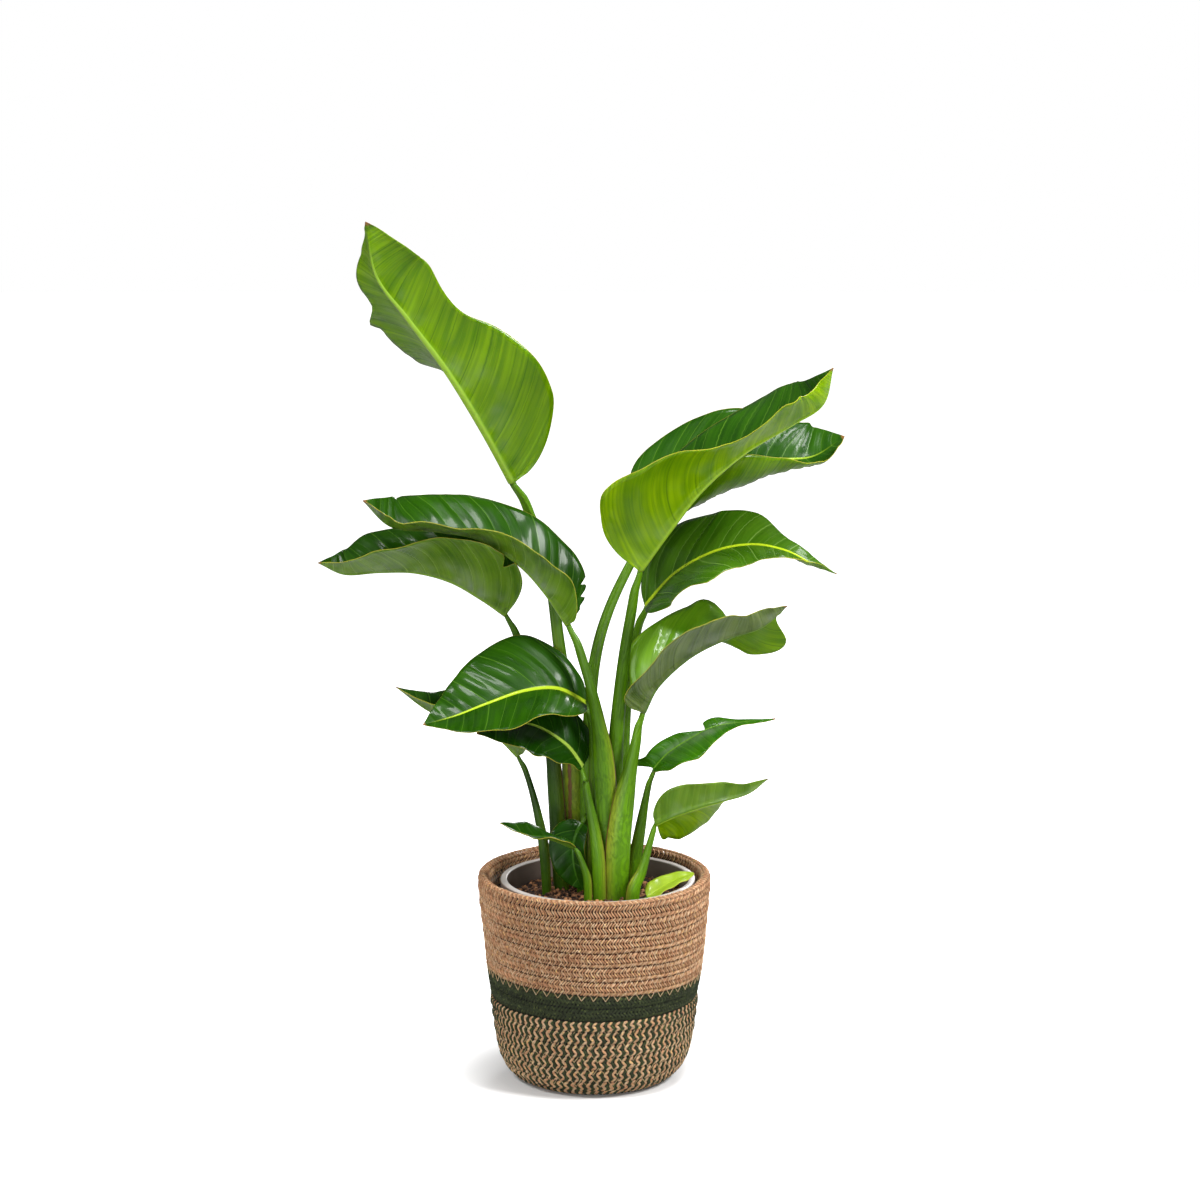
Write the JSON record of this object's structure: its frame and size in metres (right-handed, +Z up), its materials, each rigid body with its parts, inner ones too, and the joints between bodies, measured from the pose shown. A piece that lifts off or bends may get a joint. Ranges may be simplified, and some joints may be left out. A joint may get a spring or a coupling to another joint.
{
  "type": "potted bird of paradise plant",
  "caption": "Young bird of paradise plant with paddle-shaped leaves on long stalks, in a round grow pot inside a sewn rope basket with a dark band.",
  "frame": {"origin": "middle of the basket's flat underside", "axes": "+Z up, +X to the right and -Y towards the viewer as pictured"},
  "size_m": [0.5127, 0.2272, 0.8471],
  "materials": {
    "leaf": "glossy dark green upper face with a yellow-green midrib and fine side veins, duller olive underside",
    "young_leaf": "lighter glossy green with a pale midrib",
    "stalk": "satin mid green, yellow-green at the sheaths, with fine lengthwise streaks and dry brown margins",
    "tan_rope": "matt braided tan paper rope sewn row to row with zigzag thread",
    "green_rope": "matt braided dark green rope",
    "two_tone_rope": "matt braided rope of tan and dark green strands in a zigzag",
    "clear_liner": "thin clear glossy film",
    "pot_plastic": "smooth light grey-brown plastic with a glossy rim",
    "potting_soil": "dark brown coarse peat with crumbs and fibres"
  },
  "bodies": {
    "root": {"basket_base": "two_tone_rope", "basket_two_tone_wall": "two_tone_rope", "basket_green_band": "green_rope", "basket_tan_wall": "tan_rope", "basket_liner": "clear_liner", "grow_pot": "pot_plastic", "potting_soil": "potting_soil", "leaf_tall": "leaf", "leaf_upper_right_front": "leaf", "leaf_upper_right_back": "leaf", "leaf_middle_right": "leaf", "leaf_folded_right": "leaf", "leaf_small_right": "young_leaf", "leaf_low_right": "young_leaf", "leaf_short_in_pot": "young_leaf", "leaf_upper_left": "leaf", "leaf_middle_left": "leaf", "leaf_front_left": "leaf", "leaf_under_left": "leaf", "leaf_back_left": "leaf", "leaf_low_left": "leaf", "leaf_hanging_centre": "leaf", "stalk_tall": "stalk", "stalk_upper_right_front": "stalk", "stalk_upper_right_back": "stalk", "stalk_middle_right": "stalk", "stalk_folded_right": "stalk", "stalk_small_right": "stalk", "stalk_low_right": "stalk", "stalk_short_in_pot": "stalk", "stalk_upper_left": "stalk", "stalk_middle_left": "stalk", "stalk_front_left": "stalk", "stalk_under_left": "stalk", "stalk_back_left": "stalk", "stalk_low_left": "stalk", "stalk_hanging_centre": "stalk"}
  },
  "joints": []
}
